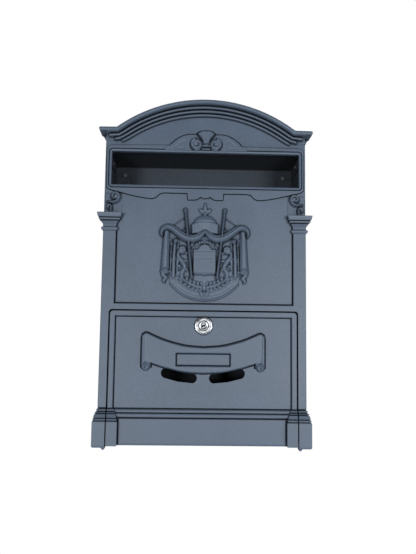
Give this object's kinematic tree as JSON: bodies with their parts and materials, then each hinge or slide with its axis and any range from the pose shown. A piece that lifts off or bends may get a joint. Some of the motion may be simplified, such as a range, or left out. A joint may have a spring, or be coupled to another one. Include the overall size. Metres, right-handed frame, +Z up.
{
  "type": "wall mounted mailbox",
  "caption": "Wall mounted mailbox with an arched cast front, an open mail slot, and a lockable door that drops down below it.",
  "frame": {"origin": "middle of the back panel's rear face, on the wall", "axes": "+Y into the wall, the front looks along -Y, +X to the viewer's right, +Z up"},
  "size_m": [0.255, 0.094, 0.4129],
  "materials": {
    "powder_coat": "cast aluminium under a fine textured matt powder coat, blue-grey",
    "sheet_paint": "matt paint on sheet steel, dark blue-grey",
    "zinc_steel": "bright zinc plate",
    "chrome": "bright nickel-chrome plate",
    "nylon": "moulded black nylon"
  },
  "bodies": {
    "housing": {"front_frame": "powder_coat", "back_panel": "sheet_paint", "left_side_panel": "sheet_paint", "right_side_panel": "sheet_paint", "top_panel": "sheet_paint", "bottom_panel": "sheet_paint", "frame_screw_1": "zinc_steel", "frame_screw_2": "zinc_steel", "frame_screw_3": "zinc_steel", "frame_screw_4": "zinc_steel", "frame_screw_5": "zinc_steel", "frame_screw_6": "zinc_steel", "back_rivet_left_1": "zinc_steel", "back_rivet_left_2": "zinc_steel", "back_rivet_left_3": "zinc_steel", "back_rivet_right_1": "zinc_steel", "back_rivet_right_2": "zinc_steel", "back_rivet_right_3": "zinc_steel", "top_rivet_left": "zinc_steel", "top_rivet_right": "zinc_steel", "bottom_rivet_left": "zinc_steel", "bottom_rivet_right": "zinc_steel", "hinge_pin_left": "zinc_steel", "hinge_pin_right": "zinc_steel", "hinge_washer_left": "nylon", "hinge_washer_right": "nylon"},
    "door": {"door": "powder_coat", "lock_body": "chrome", "lock_nut": "zinc_steel", "lock_washer": "zinc_steel"},
    "lock_core": {"lock_plug": "chrome", "lock_cam": "zinc_steel", "cam_washer": "zinc_steel", "cam_screw": "zinc_steel"}
  },
  "joints": [
    {"name": "door_hinge", "type": "hinge", "parent": "housing", "child": "door", "pos_m": [0, -0.085, -0.174], "axis": [1, 0, 0], "range_deg": [0, 100]},
    {"name": "lock_turn", "type": "hinge", "parent": "door", "child": "lock_core", "pos_m": [0, -0.082, -0.0393], "axis": [0, -1, 0], "range_deg": [0, 90]}
  ]
}
